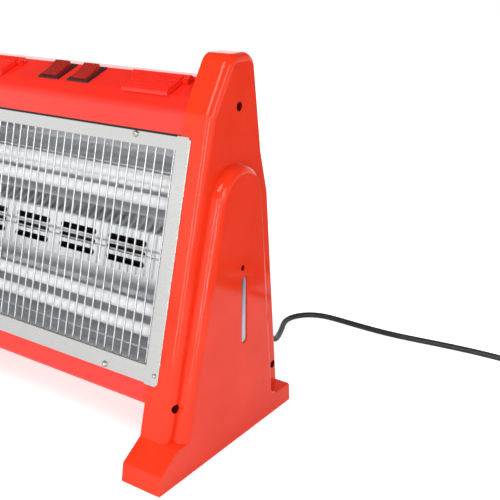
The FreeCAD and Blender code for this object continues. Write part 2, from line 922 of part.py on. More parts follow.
def lid_pin():
    along, out = lid_axis()
    half = lid_width / 2 + hinge_ear_gap + hinge_ear_w
    pin = rod(hinge_pin_r, V(lid_middle() - half, along, out), half * 2, V(1, 0, 0))
    return on_slope(pin)


def hose_place():
    """Depth and height of the filler hose where it leaves the funnel."""
    spot = slope_point(lid_length / 2, -funnel_h, 0.0)
    return spot.y, spot.z - hose_r


def filler_funnel():
    """Cup under the lid whose spout runs through the end plate to the tank."""
    middle = lid_length / 2
    half_x = funnel_x / 2
    half_y = funnel_y / 2
    cup = box(-half_x, half_x, middle - half_y, middle + half_y, -funnel_h, 0.0)
    hollow = box(-half_x + funnel_wall, half_x - funnel_wall, middle - half_y + funnel_wall,
                 middle + half_y - funnel_wall, -funnel_h + funnel_wall, over)
    cup = on_slope(cup)
    hollow = on_slope(hollow)
    cup.translate(V(lid_middle(), 0, 0))
    hollow.translate(V(lid_middle(), 0, 0))
    y, z = hose_place()
    run = tank_inner_x() - lid_middle()
    spout = rod(hose_r, V(lid_middle(), y, z), run, V(1, 0, 0))
    riser = rod(hose_r, V(lid_middle(), y, z), hose_r + over, V(0, 0, 1))
    bore = rod(hose_r - funnel_wall, V(lid_middle(), y, z), run + over, V(1, 0, 0))
    drop = rod(hose_r - funnel_wall, V(lid_middle(), y, z), funnel_h, V(0, 0, 1))
    return fuse([cup, spout, riser]).cut(fuse([hollow, bore, drop]))


def tank_inner_x():
    return plate_x + end_plate_gap * 2


def water_tank():
    """Closed tank in the panel, its neck level with the filler hose."""
    x0 = tank_inner_x()
    x1 = bump_x - panel_wall - sight_flange_t - fit
    hose_y, hose_z = hose_place()
    y0 = front_y + tank_y0
    y1 = front_y + tank_y1
    tank = box(x0, x1, y0, y1, tank_z0, tank_z1)
    tank = tank.makeFillet(tank_round, tank.Edges)
    inner = box(x0 + tank_wall, x1 - tank_wall, y0 + tank_wall, y1 - tank_wall,
                tank_z0 + tank_wall, tank_z1 - tank_wall)
    neck_x = x0 + hose_r * 2
    neck_top = hose_z + hose_r + tank_wall
    neck_low = tank_z1 - over
    neck = rod(hose_r + tank_wall, V(neck_x, hose_y, neck_low), neck_top - neck_low, V(0, 0, 1))
    bore_low = neck_low - over
    bore = rod(hose_r, V(neck_x, hose_y, bore_low), neck_top - tank_wall - neck_low, V(0, 0, 1))
    port = rod(hose_r - funnel_wall, V(x0, hose_y, hose_z), hose_r * 2, V(1, 0, 0))
    collar = rod(hose_r + tank_wall, V(x0, hose_y, hose_z), hose_r * 2, V(1, 0, 0))
    return fuse([tank, neck, collar]).cut(fuse([inner, bore, port]))


def switch_bezel(side):
    """Frame of one rocker, through the top, with the switch case below."""
    half_w = rocker_w / 2 + rocker_play
    half_l = rocker_l / 2 + rocker_play
    middle = slope_length / 2
    wall = bezel_t
    rim = box(-half_w - bezel_rim, half_w + bezel_rim, middle - half_l - bezel_rim,
              middle + half_l + bezel_rim, 0.0, bezel_t)
    case = box(-half_w - wall, half_w + wall, middle - half_l - wall, middle + half_l + wall,
               -bezel_depth, 0.0)
    hollow = box(-half_w, half_w, middle - half_l, middle + half_l, -bezel_depth + wall, bezel_t + over)
    axle = rod(rocker_axle_r, V(-half_w - wall, middle, -rocker_axle_r), (half_w + wall) * 2, V(1, 0, 0))
    bezel = fuse([fuse([rim, case]).cut(hollow), axle])
    bezel.translate(V(side * rocker_x, 0, 0))
    return on_slope(bezel)


def rocker(side):
    """Rocker button, resting with its back half up."""
    middle = slope_length / 2
    half_w = rocker_w / 2
    half_l = rocker_l / 2
    dip = half_l * math.tan(math.radians(rocker_tilt))
    crown = rocker_rise + bezel_t
    profile = [
        (middle - half_l, -rocker_axle_r),
        (middle - half_l, crown),
        (middle, crown - dip / 2),
        (middle + half_l, crown),
        (middle + half_l, -rocker_axle_r),
        (middle, -rocker_axle_r * 3),
    ]
    button = extrude(polygon(-half_w, profile), rocker_w)
    hole = rod(rocker_axle_r + hinge_play, V(-half_w - over, middle, -rocker_axle_r),
               rocker_w + over * 2, V(1, 0, 0))
    button = button.cut(hole)
    button.rotate(V(0, middle, -rocker_axle_r), V(1, 0, 0), rocker_tilt)
    button.translate(V(side * rocker_x, 0, 0))
    return on_slope(button)


def blower_rotor():
    """Cross-flow rotor: thin discs on a shaft, joined by a ring of blades."""
    y = front_y + rotor_back
    discs = []
    for i in range(rotor_discs):
        x = -rotor_half + i * (rotor_half * 2 - rotor_disc_t) / (rotor_discs - 1)
        discs.append(rod(rotor_r, V(x, y, rotor_place), rotor_disc_t, V(1, 0, 0)))
    blades = []
    for i in range(rotor_blades):
        blade = box(-rotor_half, rotor_half, y + rotor_r - rotor_blade_w, y + rotor_r - rotor_blade_t,
                    rotor_place, rotor_place + rotor_blade_t)
        blade.rotate(V(0, y, rotor_place), V(1, 0, 0), i * 360.0 / rotor_blades)
        blades.append(blade)
    half = rotor_half + shaft_out
    shaft = rod(shaft_r, V(-half, y, rotor_place), half * 2, V(1, 0, 0))
    return lean(fuse(discs + [shaft] + blades))


def blower_scroll():
    """Open scroll behind the rotor, fixed to the back of the slotted band."""
    y = front_y + rotor_back
    z = rotor_place
    radius = rotor_r + scroll_gap
    x0 = -rotor_half - scroll_gap
    length = -x0 * 2
    outer = rod(radius + scroll_t, V(x0, y, z), length, V(1, 0, 0))
    inner = rod(radius, V(x0 - over, y, z), length + over * 2, V(1, 0, 0))
    mouth = box(x0 - over, -x0 + over, front_y, y, z - radius * 2, z + radius * 2)
    half_ring = outer.cut(inner).cut(mouth)
    front = front_y + band_depth + reflector_t * 2
    walls = []
    for sign in (-1, 1):
        edge = z + sign * (radius + scroll_t / 2)
        walls.append(box(x0, -x0, front, y, edge - scroll_t / 2, edge + scroll_t / 2))
    return lean(fuse([half_ring] + walls))


def bearing_x():
    return rotor_half + scroll_gap + over


def shaft_centre():
    """Place of the rotor's shaft once the front leans."""
    tilt = math.radians(front_lean)
    y = front_y + rotor_back * math.cos(tilt) + rotor_place * math.sin(tilt)
    z = rotor_place * math.cos(tilt) - rotor_back * math.sin(tilt)
    return y, z


def blower_support(radius, length, x0, bore):
    """Housing of the motor or the far bearing, on an arm from the back panel."""
    y, z = shaft_centre()
    case = rod(radius, V(x0, y, z), length, V(1, 0, 0))
    hole = rod(bore, V(x0 - over, y, z), length + over * 2, V(1, 0, 0))
    half = bearing_r / 2
    reach = body_back(z + half) - sheet / math.cos(math.radians(back_lean))
    low_reach = body_back(z - half) - sheet / math.cos(math.radians(back_lean))
    thick = sheet / math.cos(math.radians(back_lean))
    arm = extrude(polygon(x0, [(y, z - half), (y, z + half), (reach - thick, z + half),
                               (low_reach - thick, z - half)]), length)
    return fuse([case, arm]).cut(hole)


def blower_motor():
    return blower_support(motor_r, motor_length, bearing_x(), shaft_r + bearing_play)


def blower_bearing():
    return blower_support(bearing_r, bearing_length, -bearing_x() - bearing_length, shaft_r + bearing_play)


def terminal_block():
    z = rail_low_z + sheet
    y = body_back(z) - block_y * 2
    block = box(block_place_x, block_place_x + block_x, y, y + block_y, z, z + block_z)
    wells = []
    pitch = block_x / block_ways
    for i in range(block_ways):
        x = block_place_x + pitch * i + pitch / 2
        wells.append(rod(pitch / 4, V(x, y + block_y / 2, z + block_z / 2), block_z, V(0, 0, 1)))
    return block.cut(Part.makeCompound(wells))


def tip_switch():
    """Tip-over switch on the floor of the body."""
    z = rail_low_z + sheet
    y = body_back(z) - tip_y * 2
    return box(tip_place_x - tip_x / 2, tip_place_x + tip_x / 2, y, y + tip_y, z, z + tip_z)


def thermal_cutout():
    """Round overheat cut-out on the back of the slotted band's upper trough."""
    place = V(0, front_y + trough_depth + reflector_t, upper_pair)
    body = rod(cutout_r, place, cutout_h, V(0, 1, 0))
    tags = box(-cutout_r, cutout_r, place.y + cutout_h, place.y + cutout_h * 2,
               upper_pair - sheet / 2, upper_pair + sheet / 2)
    gap = box(-cutout_r / 2, cutout_r / 2, place.y + cutout_h, place.y + cutout_h * 3,
              upper_pair - sheet, upper_pair + sheet)
    return lean(fuse([body, tags.cut(gap)]))


def gland_face():
    """Depth of the outer face of the back panel at the gland."""
    return body_back(gland_z) - sheet / math.cos(math.radians(back_lean))


def cord_gland():
    """Ribbed strain relief that tapers along the lead."""
    inner = gland_face() - sheet * 4 - gland_head
    cone_start = gland_face() + sheet * 2
    start = V(gland_x, inner, gland_z)
    neck = rod(gland_r0, start, cone_start - inner, V(0, 1, 0))
    head = rod(gland_head_r, start, gland_head, V(0, 1, 0))
    collar = rod(gland_head_r, V(gland_x, cone_start, gland_z), gland_head / 2, V(0, 1, 0))
    cone = Part.makeCone(gland_r0, gland_r1, gland_length, V(gland_x, cone_start, gland_z), V(0, 1, 0))
    grooves = []
    pitch = gland_length / (gland_ribs + 1)
    for i in range(gland_ribs):
        y = cone_start + gland_head / 2 + pitch * i + pitch / 2
        ring = rod(gland_r0 * 2, V(gland_x, y, gland_z), pitch / 3, V(0, 1, 0))
        core = rod((gland_r1 + cord_r) / 2, V(gland_x, y - over, gland_z), pitch, V(0, 1, 0))
        grooves.append(ring.cut(core))
    bore = rod(cord_r + fit / 2, start - V(0, over, 0), gland_length * 2, V(0, 1, 0))
    return fuse([neck, head, collar, cone]).cut(fuse(grooves + [bore]))


def gland_mouth():
    """Depth where the lead is gripped, a third of the way along the strain relief."""
    return gland_face() + sheet * 2 + gland_length / 3


# Route of the free lead, chosen by hand: x, depth from the front's foot, height.
lead_points = [
    (124.0, 238.0, 90.0),
    (124.0, 259.0, 83.5),
    (124.2, 276.5, 67.0),
    (124.4, 290.0, 46.0),
    (123.6, 303.0, 27.0),
    (121.8, 316.0, 13.5),
    (118.3, 331.5, 5.5),
    (112.3, 350.0, 3.6),
    (105.0, 369.5, 3.6),
    (96.5, 390.0, 3.6),
    (96.2, 405.3, 3.6),
    (101.6, 419.6, 3.6),
    (111.8, 431.0, 3.6),
    (125.5, 437.8, 3.6),
    (142.4, 439.3, 3.6),
    (166.0, 438.2, 3.6),
    (195.0, 437.2, 3.6),
    (222.0, 437.8, 3.6),
    (250.0, 441.0, 3.6),
    (298.0, 449.0, 3.6),
    (350.0, 454.0, 3.6),
    (402.0, 452.0, 3.6),
]
lead_bend_share = 0.45


def lead_route():
    """The lead's points in the part's frame, from the gland to the coil."""
    first = V(gland_x, gland_mouth(), gland_z)
    points = [V(x, front_y + y, z) for x, y, z in lead_points]
    return [first] + points + [coil_start()]


def coil_start():
    return V(coil_x - cord_r * 2, front_y + lead_points[-1][1], lead_points[-1][2])


def lead_path():
    """Straight runs joined by tangent arcs, each as large as its runs allow."""
    points = lead_route()
    edges = []
    last = points[0]
    radii = []
    for i in range(1, len(points) - 1):
        before = points[i - 1] - points[i]
        after = points[i + 1] - points[i]
        half = before.getAngle(after) / 2
        reach = lead_bend_share * min(before.Length, after.Length)
        radius = reach * math.tan(half)
        radii.append(radius)
        before.normalize()
        after.normalize()
        start = points[i] + before * reach
        end = points[i] + after * reach
        bisector = (before + after).normalize()
        middle = points[i] + bisector * (radius / math.sin(half) - radius)
        edges.append(Part.LineSegment(last, start).toShape())
        edges.append(Part.Arc(start, middle, end).toShape())
        last = end
    edges.append(Part.LineSegment(last, points[-1]).toShape())
    print("lead radii", [round(radius, 1) for radius in radii])
    return Part.Wire(edges)


def swept(path, start, direction, radius):
    circle = Part.makeCircle(radius, start, direction)
    solid = path.makePipeShell([Part.Wire(circle)], True, False)
    section = math.pi * radius ** 2
    share = solid.Volume / (section * path.Length)
    print("tube length", round(path.Length, 1), "volume share", round(share, 4))
    return solid


def cord_lead():
    route = lead_route()
    return swept(lead_path(), route[0], route[1] - route[0], cord_r)


def coil_arcs():
    """Half turns: in on the floor, a climbing half turn, and out again on top."""
    pitch = cord_r * 2 + cord_gap
    spot = coil_start() + V(cord_r * 2, 0, 0)
    heading = 1.0
    edges = [Part.LineSegment(coil_start(), spot).toShape()]
    radius = coil_outer_r
    halves = coil_turns * 2
    shrink = [-pitch / 2] * halves
    grow = [pitch / 2] * halves
    for change in shrink:
        spot, heading = half_turn(edges, spot, heading, radius, 0.0)
        radius += change
    spot, heading = half_turn(edges, spot, heading, radius, pitch)
    for change in grow:
        radius += change
        spot, heading = half_turn(edges, spot, heading, radius, 0.0)
    end = spot + V(heading * coil_tail, 0, 0)
    edges.append(Part.LineSegment(spot, end).toShape())
    return edges, end, heading


def half_turn(edges, start, heading, radius, climb):
    """Add half a turn to the left; a climbing one is a pair of tilted quarter arcs."""
    centre = start + V(0, heading * radius, 0)
    end = start + V(0, heading * radius * 2, climb)
    side = math.hypot(radius, climb / 2)
    middle = centre + V(heading * side, 0, climb / 2)
    if climb:
        for a, b, tangent in ((start, middle, V(heading, 0, 0)), (end, middle, V(heading, 0, 0))):
            chord = b - a
            along = chord.dot(tangent)
            arc_radius = chord.Length ** 2 / (2 * (chord - tangent * along).Length)
            inward = (chord - tangent * along).normalize()
            hub = a + inward * arc_radius
            mid_way = ((a - hub) + (b - hub)).normalize()
            edge = Part.Arc(a, hub + mid_way * arc_radius, b)
            if a == end:
                edge = Part.Arc(b, hub + mid_way * arc_radius, a)
            edges.append(edge.toShape())
    else:
        edges.append(Part.Arc(start, middle, end).toShape())
    return end, -heading


def cord_coil():
    edges, end, heading = coil_arcs()
    path = Part.Wire(edges)
    samples = []
    for edge in path.OrderedEdges:
        samples += edge.discretize(Distance=cord_r)[:-1]
    least = coil_outer_r
    skip = int(coil_outer_r / cord_r)
    for i in range(len(samples)):
        for j in range(i + skip, len(samples)):
            least = min(least, (samples[i] - samples[j]).Length - cord_r * 2)
    print("coil least gap", round(least, 2))
    return swept(path, coil_start(), V(1, 0, 0), cord_r)


def cord_plug():
    """Moulded plug at the end of the coil, lying on the floor beside it."""
    edges, end, heading = coil_arcs()
    way = V(heading, 0, 0)
    nose = Part.makeCone(cord_r + sheet, plug_r * 2 / 3, plug_nose, end, way)
    body_start = end + way * plug_nose
    body = Part.makeCone(plug_r * 2 / 3, plug_r, plug_length * 2 / 3, body_start, way)
    grip = rod(plug_r, body_start + way * (plug_length * 2 / 3), plug_length / 3, way)
    face_start = body_start + way * plug_length
    half = plug_face_half
    low = min(face_start.x, face_start.x + heading * plug_face)
    face = box(low, low + plug_face, face_start.y - half, face_start.y + half,
               face_start.z - plug_r, face_start.z + plug_r)
    return fuse([nose, body, grip, face])


def plug_pins():
    edges, end, heading = coil_arcs()
    way = V(heading, 0, 0)
    start = end + way * (plug_nose + plug_length + plug_face)
    pins = []
    for side in (-1, 1):
        pins.append(rod(plug_pin_r, start + V(0, side * plug_pin_pitch / 2, 0), plug_pin_length, way))
    return Part.makeCompound(pins)


def build():
    """All pieces by name, each in its place on the heater."""
    parts = {}
    handed = {
        "side_panel": side_panel(),
        "level_sight": level_sight(),
        "rubber_pads": rubber_pads(),
        "panel_screws": panel_screws(),
        "end_plate": end_plate(),
        "side_strip": side_strip(),
        "end_caps": end_caps(),
        "filler_lid": filler_lid(),
        "lid_hinge": lid_hinge(),
        "lid_pin": lid_pin(),
        "filler_funnel": filler_funnel(),
        "water_tank": water_tank(),
    }
    for name, shape in handed.items():
        parts[name + "_right"] = shape
        parts[name + "_left"] = mirrored(shape)
    parts["top_cover"] = top_cover()
    parts["base_tray"] = base_tray()
    parts["back_panel"] = back_panel()
    parts["frame_top_rail"] = frame_top_rail()
    parts["frame_bottom_rail"] = frame_bottom_rail()
    parts["frame_screws"] = frame_screws()
    parts["guard_wires"] = guard_wires()
    parts["cross_wires"] = cross_wires()
    parts["reflector_upper"] = reflector(upper_pair, 1)
    parts["reflector_lower"] = reflector(lower_pair, -1)
    parts["vent_band"] = vent_band()
    for i, along in enumerate(tube_places()):
        parts["quartz_tube_%d" % (i + 1)] = quartz_tube(along)
        parts["heating_coil_%d" % (i + 1)] = heating_coil(along)
    for side, name in ((-1, "left"), (1, "right")):
        parts["switch_bezel_" + name] = switch_bezel(side)
        parts["rocker_" + name] = rocker(side)
    parts["blower_rotor"] = blower_rotor()
    parts["blower_scroll"] = blower_scroll()
    parts["blower_motor"] = blower_motor()
    parts["blower_bearing"] = blower_bearing()
    parts["terminal_block"] = terminal_block()
    parts["tip_switch"] = tip_switch()
    parts["thermal_cutout"] = thermal_cutout()
    parts["cord_gland"] = cord_gland()
    parts["cord_lead"] = cord_lead()
    parts["cord_coil"] = cord_coil()
    parts["cord_plug"] = cord_plug()
    parts["plug_pins"] = plug_pins()
    return parts


os.makedirs("parts", exist_ok=True)
for name, shape in build().items():
    shape.exportStep(os.path.join("parts", name + ".step"))
    print(name, "solids", len(shape.Solids), "valid", shape.isValid(), "volume", round(shape.Volume))
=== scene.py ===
# %% [markdown]
# A quartz heater in the studio.
# The heater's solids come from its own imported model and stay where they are. This lesson gives them
# their finishes, and makes the pieces that need a finer surface than a solid has: the moulded end
# panels, the folded red sheets, the bright frame, the wires, the tubes and the mains lead.
# Every length is in metres, in the same frame as the solids: X to the right, Y to the back, Z up.

# %% Load the frame
import json
import math

import bmesh
import bpy
import numpy as np
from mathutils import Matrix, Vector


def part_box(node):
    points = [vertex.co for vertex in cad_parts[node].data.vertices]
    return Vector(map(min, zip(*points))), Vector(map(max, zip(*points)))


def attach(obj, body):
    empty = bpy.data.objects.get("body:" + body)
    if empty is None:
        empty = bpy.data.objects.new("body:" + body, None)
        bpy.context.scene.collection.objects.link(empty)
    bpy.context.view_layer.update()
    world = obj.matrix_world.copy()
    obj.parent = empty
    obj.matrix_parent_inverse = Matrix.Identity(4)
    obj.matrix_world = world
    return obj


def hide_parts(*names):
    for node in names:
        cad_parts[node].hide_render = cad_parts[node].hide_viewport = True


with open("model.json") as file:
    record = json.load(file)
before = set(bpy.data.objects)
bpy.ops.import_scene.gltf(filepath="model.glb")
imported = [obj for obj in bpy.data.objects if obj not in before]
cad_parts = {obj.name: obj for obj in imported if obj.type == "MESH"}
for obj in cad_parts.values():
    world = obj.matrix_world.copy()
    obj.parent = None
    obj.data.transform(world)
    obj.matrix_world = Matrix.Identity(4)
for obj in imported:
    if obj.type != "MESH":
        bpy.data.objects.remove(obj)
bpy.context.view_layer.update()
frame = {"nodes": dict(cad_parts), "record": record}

MM = 0.001
nodes = frame["nodes"]

# %% [markdown]
# The camera stands to the right of the heater and looks down on its corner. The photograph is a crop
# of a wider picture, so the lens is long and shifted sideways instead of being turned.

# %% Camera
camera_place = (0.6344, -0.6645, 0.4798)
camera_tip = 19.10
camera_turn = 37.52
focal_pixels = 895.48
frame_pixels = 500
sensor = 36.0
frame_shift = 0.168

camera_data = bpy.data.cameras.new("studio_camera")
camera_data.sensor_width = sensor
camera_data.lens = focal_pixels / frame_pixels * sensor
camera_data.shift_x = frame_shift
camera = bpy.data.objects.new("studio_camera", camera_data)
camera.location = camera_place
camera.rotation_euler = (math.radians(90 - camera_tip), 0, math.radians(camera_turn))
bpy.context.scene.collection.objects.link(camera)
bpy.context.scene.camera = camera
bpy.context.scene.view_settings.view_transform = "Standard"
print("lens", round(camera_data.lens, 2))

# %% [markdown]
# A finish is a small node tree. Noise read in object coordinates moves the colour and the roughness a
# little from place to place and lifts the surface by a few hundredths of a millimetre. What is the
# same all over, such as metal or gloss, is set on the shader itself.

# %% Finish helper
def node(tree, kind, **values):
    """New shader node with some of its inputs set by name."""
    made = tree.nodes.new(kind)
    for name, value in values.items():
        made.inputs[name.replace("_", " ")].default_value = value
    return made


def noise(tree, coordinates, scale, stretch=(1, 1, 1), detail=3.0):
    """Noise with a number of features per metre, drawn out along an axis by a small stretch."""
    mapping = tree.nodes.new("ShaderNodeMapping")
    mapping.inputs["Scale"].default_value = stretch
    tree.links.new(coordinates, mapping.inputs["Vector"])
    made = node(tree, "ShaderNodeTexNoise", Scale=scale, Detail=detail)
    tree.links.new(mapping.outputs["Vector"], made.inputs["Vector"])
    return made.outputs["Fac"]


def spread(tree, value, low, high):
    """A noise value of about 0.3 to 0.7 spread between two numbers."""
    made = node(tree, "ShaderNodeMapRange", From_Min=0.3, From_Max=0.7, To_Min=low, To_Max=high)
    tree.links.new(value, made.inputs["Value"])
    return made.outputs["Result"]


def tinted(tree, value, dark, light):
    """A noise value turned into a colour between two."""
    ramp = tree.nodes.new("ShaderNodeValToRGB")
    ramp.color_ramp.elements[0].position = 0.3
    ramp.color_ramp.elements[1].position = 0.7
    ramp.color_ramp.elements[0].color = (*dark, 1)
    ramp.color_ramp.elements[1].color = (*light, 1)
    tree.links.new(value, ramp.inputs["Fac"])
    return ramp.outputs["Color"]


def finish(name, dark, light, rough, grain, lift, stretch=(1, 1, 1), patch=25.0, **fixed):
    """Material whose colour and roughness drift over patches and whose grain lifts the surface."""
    material = bpy.data.materials.new(name)
    material.use_nodes = True
    tree = material.node_tree
    shader = tree.nodes["Principled BSDF"]
    for socket, value in fixed.items():
        shader.inputs[socket.replace("_", " ")].default_value = value
    coordinates = tree.nodes.new("ShaderNodeTexCoord").outputs["Object"]
    drift = noise(tree, coordinates, patch, stretch)
    fine = noise(tree, coordinates, grain, stretch, 2.0)
    tree.links.new(tinted(tree, drift, dark, light), shader.inputs["Base Color"])
    tree.links.new(spread(tree, fine, *rough), shader.inputs["Roughness"])
    bump = node(tree, "ShaderNodeBump", Strength=1.0, Distance=lift)
    tree.links.new(fine, bump.inputs["Height"])
    tree.links.new(bump.outputs["Normal"], shader.inputs["Normal"])
    return material


# %% [markdown]
# The end panels and lids are coloured through and moulded glossy; the cover and tray are steel sheet
# with a coat of a slightly colder red. Frame, wires and reflectors are bright metal of three degrees
# of polish, and the tubes are satin quartz. A finish takes its darker and lighter colour, the range of
# its roughness, its grain per metre and how far that grain lifts the surface, in metres.

# %% Finishes of the heater
finishes = {
    "panel_red": finish("moulded_red", (0.76, 0.034, 0.009), (0.81, 0.040, 0.012), (0.07, 0.11),
                        700, 1e-6, Specular_IOR_Level=0.28),
    "sheet_red": finish("coated_sheet_red", (0.86, 0.022, 0.011), (0.91, 0.026, 0.014), (0.08, 0.13),
                        400, 2e-6, Specular_IOR_Level=0.6),
    "lid_red": finish("moulded_deep_red", (0.80, 0.020, 0.010), (0.86, 0.025, 0.013), (0.08, 0.13),
                      600, 2e-6, Specular_IOR_Level=0.5),
    "frame_bright": finish("satin_frame", (0.60, 0.60, 0.59), (0.62, 0.62, 0.61), (0.26, 0.29),
                           300, 4e-7, (0.05, 1, 1), Metallic=1.0),
    "wire_chrome": finish("plated_wire", (0.48, 0.50, 0.52), (0.58, 0.59, 0.61), (0.26, 0.36),
                          900, 3e-6, Metallic=1.0),
    "reflector_bright": finish("bright_reflector", (0.64, 0.65, 0.66), (0.74, 0.75, 0.76), (0.12, 0.20),
                               160, 3e-5, (0.15, 1, 1), 8.0, Metallic=1.0),
    "quartz_white": finish("satin_quartz", (0.68, 0.69, 0.70), (0.76, 0.76, 0.76), (0.35, 0.48),
                           800, 4e-6),
    "coil_wire": finish("winding_wire", (0.16, 0.15, 0.14), (0.26, 0.24, 0.22), (0.4, 0.6),
                        900, 1e-5, Metallic=1.0),
    "ceramic_white": finish("ceramic", (0.74, 0.72, 0.66), (0.84, 0.82, 0.76), (0.45, 0.6),
                            900, 1e-5),
    "sight_clear": finish("milky_sight", (0.30, 0.38, 0.46), (0.40, 0.48, 0.56), (0.14, 0.24),
                          400, 6e-6),
    "rubber_black": finish("pad_rubber", (0.012, 0.012, 0.012), (0.025, 0.025, 0.025), (0.6, 0.8),
                           900, 3e-5),
    "screw_steel": finish("zinc_screw", (0.44, 0.43, 0.40), (0.56, 0.55, 0.52), (0.25, 0.42),
                          900, 1e-5, Metallic=1.0),
    "plate_steel": finish("plain_plate", (0.42, 0.43, 0.43), (0.54, 0.55, 0.55), (0.35, 0.5),
                          300, 1e-5, Metallic=1.0),
    "tank_white": finish("milky_tank", (0.66, 0.67, 0.68), (0.76, 0.77, 0.78), (0.4, 0.5),
                         400, 1e-5),
    "switch_black": finish("switch_black", (0.012, 0.012, 0.013), (0.022, 0.022, 0.024), (0.22, 0.34),
                           800, 1e-5),
    "rocker_red": finish("rocker_red", (0.30, 0.012, 0.008), (0.38, 0.016, 0.01), (0.2, 0.3),
                         800, 6e-6),
    "blower_black": finish("blower_black", (0.014, 0.008, 0.006), (0.030, 0.018, 0.014), (0.45, 0.6),
                           500, 2e-5),
    "cord_black": finish("cord_sheath", (0.010, 0.010, 0.011), (0.020, 0.020, 0.022), (0.34, 0.46),
                         900, 2e-5),
    "pin_brass": finish("plated_pin", (0.52, 0.46, 0.34), (0.66, 0.58, 0.42), (0.2, 0.32),
                        900, 6e-6, Metallic=1.0),
}
print("finishes", len(finishes))

# %% [markdown]
# Three places on the heater get painted shade, darker than the soft light makes them: the bores of the
# deep screw holes, the front edge of the sight, which lies behind the wall of its slot, and a painted
# shadow line on the frame under the low edge of the cover; the rest of the sight gets painted light, a
# quarter brighter than its finish. Each is a share that scales the colour of the finish, worked out from
# the place on the piece. A hole is its face in X, its depth behind the foot of the front, its height and
# its radius; its painted shade ends at the face, so that the arch beside the lowest hole stays clean.

# %% Painted shade and light
front_lean = math.radians(12.7)
front_foot_reach = 20.0 * MM
front_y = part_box("side_panel_right")[0].y + front_foot_reach
frame_top = 321.3 * MM
sight_lean = math.radians(2.9)
sight_half = 4.8 * MM
painted_light_reach = 0.4
sight_edge_painted_shade, sight_bar_painted_light = 0.12, 1.25
cover_edge_shadow_width, cover_edge_painted_shadow = 1.8 * MM, 0.06
hole_margin, hole_painted_shade = 0.25 * MM, 0.15
face_x, arch_x = 193.0 * MM, 206.7 * MM
screw_hole_r, vent_hole_r = 4.3 * MM, 2.7 * MM
sunk_holes = [
    (face_x, 117.4 * MM, 336.7 * MM, screw_hole_r), (face_x, 22.9 * MM, 68.5 * MM, screw_hole_r),
    (face_x, 197.0 * MM, 46.5 * MM, screw_hole_r), (arch_x, 109.7 * MM, 185.7 * MM, vent_hole_r)]


def paint_light_share(material, share):
    """Scale a finish's colour by a share that its own tree works out: painted shade below one, painted
    light above one.
    """
    tree = material.node_tree
    shader = tree.nodes["Principled BSDF"]
    scaled = tree.nodes.new("ShaderNodeVectorMath")
    scaled.operation = "SCALE"
    tree.links.new(shader.inputs["Base Color"].links[0].from_socket, scaled.inputs[0])
    tree.links.new(share, scaled.inputs["Scale"])
    tree.links.new(scaled.outputs["Vector"], shader.inputs["Base Color"])


def measured(material, operation, reference, start, end, first, last, flat=(1, 1, 1)):
    """Share that runs from first to last while a measure of the place runs from start to end.

    The measure is the dot product of the place with the reference, or the distance between the two,
    after the place has been flattened along some axes.
    """
    tree = material.node_tree
    place = tree.nodes.new("ShaderNodeVectorMath")
    place.operation = "MULTIPLY"
    place.inputs[1].default_value = flat
    tree.links.new(tree.nodes.new("ShaderNodeTexCoord").outputs["Object"], place.inputs[0])
    measure = tree.nodes.new("ShaderNodeVectorMath")
    measure.operation = operation
    measure.inputs[1].default_value = reference
    tree.links.new(place.outputs["Vector"], measure.inputs[0])
    share = node(tree, "ShaderNodeMapRange", From_Min=start, From_Max=end, To_Min=first, To_Max=last)
    tree.links.new(measure.outputs["Value"], share.inputs["Value"])
    return share.outputs["Result"]


sight_low, sight_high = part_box("level_sight_right")
sight_middle = (sight_low + sight_high) / 2
sight_place = sight_middle.y - sight_middle.z * math.tan(sight_lean)
sight_bar = finishes["sight_clear"]
# Painted shade on the sight's front edge behind the slot wall, painted light on the rest of the bar.
paint_light_share(sight_bar, measured(sight_bar, "DOT_PRODUCT", (0, 1, -math.tan(sight_lean)),
                           sight_place - sight_half, sight_place + sight_half * painted_light_reach,
                           sight_edge_painted_shade, sight_bar_painted_light))
panel_red = finishes["panel_red"]
links = panel_red.node_tree.links
# Painted shade in the bore of each hole, ending at its face.
for x, y, z, radius in sunk_holes:
    bore = measured(panel_red, "DISTANCE", (0, y + front_y, z), radius + hole_margin / 3,
                    radius + hole_margin, hole_painted_shade, 1.0, (0, 1, 1))
    outside = measured(panel_red, "DISTANCE", (0, 0, 0), x, x + hole_margin, hole_painted_shade, 1.0, (1, 0, 0))
    larger = panel_red.node_tree.nodes.new("ShaderNodeMath")
    larger.operation = "MAXIMUM"
    links.new(bore, larger.inputs[0])
    links.new(outside, larger.inputs[1])
    paint_light_share(panel_red, larger.outputs[0])
# Painted shadow on the frame in a thin band just under the cover's low edge.
cover_edge_shadow_start = front_y * math.sin(front_lean) + frame_top - cover_edge_shadow_width
frame_painted_shadow = finishes["frame_bright"].copy()
paint_light_share(frame_painted_shadow, measured(
    frame_painted_shadow, "DOT_PRODUCT", (0, math.sin(front_lean), math.cos(front_lean)),
    cover_edge_shadow_start, cover_edge_shadow_start + cover_edge_shadow_width / 3, 1.0, cover_edge_painted_shadow))
print("shaded places", len(sunk_holes) + 2)

# %% Finishes on the solids
slot_of = {row["node"]: row["material_slot"] for row in frame["record"]["subparts"]}
for name, solid in nodes.items():
    solid.data.materials.clear()
    solid.data.materials.append(finishes[slot_of[name]])
print("finishes on", len(nodes), "solids")

# %% [markdown]
# A solid's mesh is loose triangles with flat faces. Moulded plastic and pressed metal have soft edges
# that catch the light, so the pieces with such edges are shown by a merged copy of their solid: its
# doubles are joined, its flat faces are made whole, its edges are given a small bevel and its normals
# are weighted by area, which keeps flat faces flat and round ones smooth.

# %% Soft-edged copies of the solids
carried = frame["record"]["behaviour"]["bodies"]
sharp_fold = 40.0
same_place = 1e-6
same_face = math.radians(0.4)


def body_of(name):
    """Moving body that carries a node: lids, rockers and rotor have one each, the rest is the heater."""
    return next(body for body, names in carried.items() if name in names)


def weigh(piece):
    """Normals weighted by face area, so that flat faces stay flat."""
    weighted = piece.modifiers.new("weighted", "WEIGHTED_NORMAL")
    weighted.keep_sharp = True


